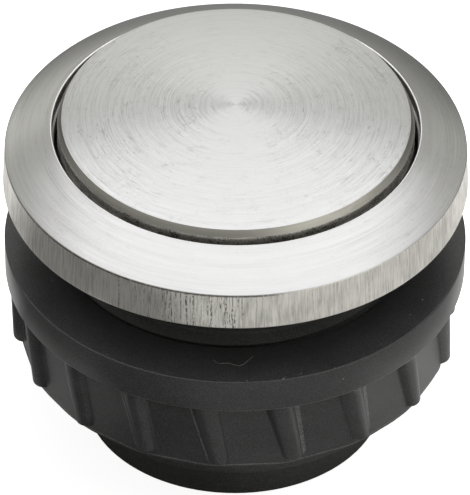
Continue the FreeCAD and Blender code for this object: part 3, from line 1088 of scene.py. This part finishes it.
class DOORBELL_OT_dust(bpy.types.Operator):
    """The specks of dust and the fibre that lie on the ring nut's flange"""

    bl_idname = "doorbell.dust"
    bl_label = "Dust and fibre"

    def execute(self, context):
        nut = bpy.data.objects["grip_nut"]
        bits = [self.speck(*speck) for speck in dust_specks] + [self.fibre()]
        dust = join(bits, "dust")
        coat(dust, "pale_dust")
        join([nut, dust], "grip_nut")
        return {"FINISHED"}

    def speck(self, x, y, z, size):
        deselect()
        bpy.ops.mesh.primitive_ico_sphere_add(subdivisions=1, radius=size * mm)
        bit = bpy.context.object
        for vertex in bit.data.vertices:
            vertex.co = Vector((x, y, z)) * mm + vertex.co * Vector(speck_shape)
        return bit

    def fibre(self):
        """A thin three-sided strand through the fibre's points."""
        deselect()
        bpy.ops.mesh.primitive_circle_add(vertices=3, radius=fibre_radius)
        strand = bpy.context.object
        ring = [vertex.co.copy() for vertex in strand.data.vertices]
        shape = bmesh.new()
        rows = []
        for k, (x, y) in enumerate(fibre_path):
            before = Vector(fibre_path[max(k - 1, 0)])
            after = Vector(fibre_path[min(k + 1, len(fibre_path) - 1)])
            way = (after - before).normalized()
            across = Vector((-way.y, way.x, 0.0))
            middle = Vector((x * mm, y * mm, nut_top + fibre_radius))
            rows.append([shape.verts.new(middle + across * at.x + Vector((0, 0, at.y))) for at in ring])
        for here, there in zip(rows, rows[1:]):
            for k in range(3):
                shape.faces.new((here[k], here[k - 1], there[k - 1], there[k]))
        for end in (rows[0], rows[-1]):
            shape.faces.new(end)
        shape.to_mesh(strand.data)
        shape.free()
        clean(strand, fibre_gap)
        return strand


class DOORBELL_OT_terminal_base(bpy.types.Operator):
    """Moulded rear base with its two terminal pockets and eased edges"""

    bl_idname = "doorbell.terminal_base"
    bl_label = "Terminal base"

    def execute(self, context):
        piece = eased_copy("terminal_base", "rear_base", base_ease)
        coat(piece, "black_housing")
        seat(piece, "switch_body", "base_moulding", "terminal_base")
        return {"FINISHED"}


class DOORBELL_OT_terminal_screws(bpy.types.Operator):
    """Two slotted cheese-head screws with rolled threads, and their clamp plates"""

    bl_idname = "doorbell.terminal_screws"
    bl_label = "Terminal screws and plates"

    def execute(self, context):
        for side in ("left", "right"):
            low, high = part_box(side + "_terminal_screw")
            screw = self.make_screw((low.x + high.x) / 2, low.z, high.z, (high.x - low.x) / 2)
            screw.name = side + "_slotted_screw"
            coat(screw, "zinc_screw")
            seat(screw, side + "_screw", "screw_steel", side + "_terminal_screw")
            plate = eased_copy(side + "_clamp_plate", side + "_clamp", plate_ease)
            coat(plate, "zinc_plate")
            seat(plate, side + "_screw", "plate_steel", side + "_clamp_plate")
        return {"FINISHED"}

    def make_screw(self, x, bottom, top, head_radius):
        """Head and shank are turned, the slot is cut by a block, and ridges wind up the shank."""
        head_top = bottom + screw_head_height
        root = screw_radius - screw_thread_depth
        piece = turned("screw", [
            (0.0, bottom, 0.0),
            (head_radius, bottom, screw_head_round),
            (head_radius, head_top, screw_edge_round),
            (root, head_top, 0.0),
            (root, top - screw_point, 0.0),
            (root - screw_point, top, 0.0),
            (0.0, top, 0.0),
        ], screw_steps)
        deselect()
        bpy.ops.mesh.primitive_cube_add(size=1.0, location=(0, 0, bottom))
        cutter = bpy.context.object
        bpy.ops.transform.resize(value=(screw_slot_width, head_radius * 3, screw_slot_depth * 2))
        bpy.ops.object.transform_apply(location=True, rotation=True, scale=True)
        apply_modifier(piece, "BOOLEAN", operation="DIFFERENCE", object=cutter, solver="EXACT")
        bpy.data.objects.remove(cutter)
        ridge = self.make_ridge(root, head_top, top)
        piece = join([piece, ridge], "screw")
        for vertex in piece.data.vertices:
            vertex.co.x += x
        smooth(piece, 35)
        return piece

    def make_ridge(self, root, bottom, top):
        """The shank's thread: a three-sided ridge that winds up it, with closed ends."""
        pitch = screw_thread_pitch
        sunk = root - screw_thread_sink
        profile = ((sunk, 0.1), (screw_radius, 0.5), (sunk, 0.9))
        ridge = circle_piece("ridge", [(radius, 0.0, bottom + share * pitch) for radius, share in profile])
        turns = int((top - bottom - pitch) / pitch)
        apply_modifier(
            ridge, "SCREW", angle=2 * math.pi, screw_offset=pitch, iterations=turns, steps=screw_thread_steps,
            render_steps=screw_thread_steps, use_merge_vertices=False)
        with editing(ridge):
            bpy.ops.mesh.select_all(action="DESELECT")
            bpy.ops.mesh.select_non_manifold(extend=False)
            bpy.ops.mesh.edge_face_add()
        clean(ridge, cut_gap)
        return ridge


class DOORBELL_OT_contacts(bpy.types.Operator):
    """Finishes of the inner pieces that stay as packed: contacts, rivets, springs, retainer and plunger"""

    bl_idname = "doorbell.contacts"
    bl_label = "Inner pieces"

    def execute(self, context):
        strips = ("left_fixed_contact", "right_fixed_contact", "contact_bridge")
        rivets = ("left_fixed_tip", "right_fixed_tip", "left_bridge_tip", "right_bridge_tip")
        looks = [(name, "brass_strip") for name in strips]
        looks += [(name, "silver_rivet") for name in rivets]
        looks += [("return_spring", "spring_wire"), ("contact_spring", "spring_wire")]
        looks += [("bridge_retainer", "pale_retainer"), ("plunger", "black_housing")]
        for name, look in looks:
            coat_node(name, look)
        return {"FINISHED"}


def coat_node(name, look):
    """Gives a CAD node that stays its finish, in its own slots."""
    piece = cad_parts[name]
    if not piece.material_slots:
        piece.data.materials.append(finish_of(look))
    for place in piece.material_slots:
        place.material = finish_of(look)


class DOORBELL_OT_stage(bpy.types.Operator):
    """Plain pale floor, soft studio light and the camera of the photograph"""

    bl_idname = "doorbell.stage"
    bl_label = "Stage"

    def execute(self, context):
        self.make_floor()
        self.make_world()
        self.make_light()
        self.make_camera()
        context.scene.view_settings.view_transform = "Standard"
        return {"FINISHED"}

    def make_floor(self):
        deselect()
        bpy.ops.mesh.primitive_plane_add(size=floor_size, location=(0, 0, 0))
        floor = bpy.context.object
        floor.name = "floor"
        for vertex in floor.data.vertices:
            vertex.co.z = -floor_drop
        white = (1.0, 1.0, 1.0, 1.0)
        material, tree, shader = start_material(
            "pale_floor", Roughness=0.9, Specular_IOR_Level=0.0, Emission_Color=white)
        x, y, _ = parts_of(tree, object_place(tree))
        left = (y * floor_slant - x).spread(*left_edge)
        near = y.spread(*near_front) * abs(x).spread(*near_sides) * y.spread(*near_back)
        level = left.spread(0.0, 1.0, floor_shade, floor_shade_left)
        areas = (
            (y.spread(*beside_edge), floor_shade_beside),
            (y.spread(*behind_edge), floor_shade_behind),
            (near, floor_shade_near),
            (self.patch(x * -1, y), floor_patch_left),
            (self.patch(x, y), floor_patch_right),
        )
        for area, area_shade in areas:
            level = area.between(level, area_shade)
        tree.links.new(level.socket, shader.inputs["Base Color"])
        tree.links.new((seen_by_camera(tree) * floor_glow).socket, shader.inputs["Emission Strength"])
        floor.data.materials.append(material)

    def patch(self, across, along):
        """Share of a patch of floor close to the nut, on the side where across goes up."""
        wide = across.spread(*patch_inside) * across.spread(*patch_outside)
        return wide * (along.spread(*patch_front) * along.spread(*patch_back))

    def make_world(self):
        world = bpy.data.worlds.new("studio")
        bpy.context.scene.world = world
        world.use_nodes = True
        tree = world.node_tree
        tree.nodes.clear()
        way = tree.nodes.new("ShaderNodeTexCoord").outputs["Generated"]
        height = parts_of(tree, way)[2]
        aside = abs(along_way(tree, way, right_way))
        low = height.spread(*low_sky)
        behind = along_way(tree, way, behind_way).spread(*behind_sky)
        level = height.spread(*overhead_sky, world_low, world_high)
        level = level + aside.spread(*behind_sides, 0.0, world_behind) * behind
        level = height.spread(*horizon_sky).between(world_horizon, level)
        level = level + aside.spread(*side_sky, 0.0, world_side) * low
        for lobe_way, lobe_sky, lobe_level in sky_lobes:
            level = level + along_way(tree, way, lobe_way).spread(*lobe_sky, 0.0, lobe_level)
        dark = along_way(tree, way, dark_way).spread(*dark_sky, 0.0, dark_share) * low
        seen = seen_by_camera(tree)
        grey = (level * (1.0 - dark)).at_least(seen)
        blue = (grey * height.spread(*warm_sky, low_warmth, 1.0)).at_least(seen)
        colour = node(tree, "ShaderNodeCombineColor", None, Red=grey, Green=grey, Blue=blue).outputs[0]
        background = node(tree, "ShaderNodeBackground", None, Color=colour, Strength=1.0)
        output = tree.nodes.new("ShaderNodeOutputWorld")
        tree.links.new(background.outputs[0], output.inputs["Surface"])

    def make_light(self):
        data = bpy.data.lights.new("top_light", "AREA")
        data.shape = "RECTANGLE"
        data.size, data.size_y = light_size
        data.energy = light_power
        lamp = linked("top_light", data)
        lamp.location = light_place
        lamp.rotation_mode = "QUATERNION"
        lamp.rotation_quaternion = (light_place - light_aim).to_track_quat("Z", "Y")
        lamp.visible_camera = False

    def make_camera(self):
        data = bpy.data.cameras.new("photo_camera")
        data.sensor_fit = "AUTO"
        data.sensor_width = sensor_width
        data.lens = sensor_width * pixels_a_millimetre * camera_distance / mm / frame_height
        data.clip_start, data.clip_end = camera_clip
        camera = linked("photo_camera", data)
        rise = math.radians(camera_elevation)
        back = Vector((0.0, -math.cos(rise), math.sin(rise)))
        camera.location = camera_aim + back * camera_distance
        turn = (-back).to_track_quat("-Z", "Y").to_matrix().to_4x4()
        roll = Matrix.Rotation(math.radians(camera_roll), 4, "Z")
        camera.matrix_world = Matrix.Translation(camera.location) @ turn @ roll
        bpy.context.scene.camera = camera


def seen_by_camera(tree):
    return Value(tree, tree.nodes.new("ShaderNodeLightPath").outputs["Is Camera Ray"])


def along_way(tree, way, direction):
    """How far a way points in a direction, from -1 to 1."""
    made = node(tree, "ShaderNodeVectorMath", {"operation": "DOT_PRODUCT"}, _0=way, _1=direction)
    return Value(tree, made.outputs["Value"])


class DOORBELL_PT_panel(bpy.types.Panel):
    """Sizes, finishes and the pieces' operators"""

    bl_idname = "DOORBELL_PT_panel"
    bl_label = "Doorbell button"
    bl_space_type = "VIEW_3D"
    bl_region_type = "UI"
    bl_category = "Doorbell"

    def draw(self, context):
        layout = self.layout
        for group in (context.scene.doorbell_sizes, context.scene.doorbell_finish):
            column = layout.column(align=True)
            for name in group.__annotations__:
                column.prop(group, name)
        column = layout.column(align=True)
        for operator in operators:
            column.operator(operator.bl_idname)


operators = (
    DOORBELL_OT_stage,
    DOORBELL_OT_bezel,
    DOORBELL_OT_cap,
    DOORBELL_OT_housing,
    DOORBELL_OT_ring_nut,
    DOORBELL_OT_dust,
    DOORBELL_OT_terminal_base,
    DOORBELL_OT_terminal_screws,
    DOORBELL_OT_contacts,
)
classes = (DoorbellSizes, DoorbellFinish, *operators, DOORBELL_PT_panel)


def register():
    for each in classes:
        bpy.utils.register_class(each)
    bpy.types.Scene.doorbell_sizes = PointerProperty(type=DoorbellSizes)
    bpy.types.Scene.doorbell_finish = PointerProperty(type=DoorbellFinish)


def unregister():
    del bpy.types.Scene.doorbell_finish
    del bpy.types.Scene.doorbell_sizes
    for each in reversed(classes):
        bpy.utils.unregister_class(each)


def main():
    register()
    bpy.ops.doorbell.stage()
    bpy.ops.doorbell.bezel()
    bpy.ops.doorbell.cap()
    bpy.ops.doorbell.housing()
    bpy.ops.doorbell.ring_nut()
    bpy.ops.doorbell.dust()
    bpy.ops.doorbell.terminal_base()
    bpy.ops.doorbell.terminal_screws()
    bpy.ops.doorbell.contacts()


if __name__ == "__main__":
    main()
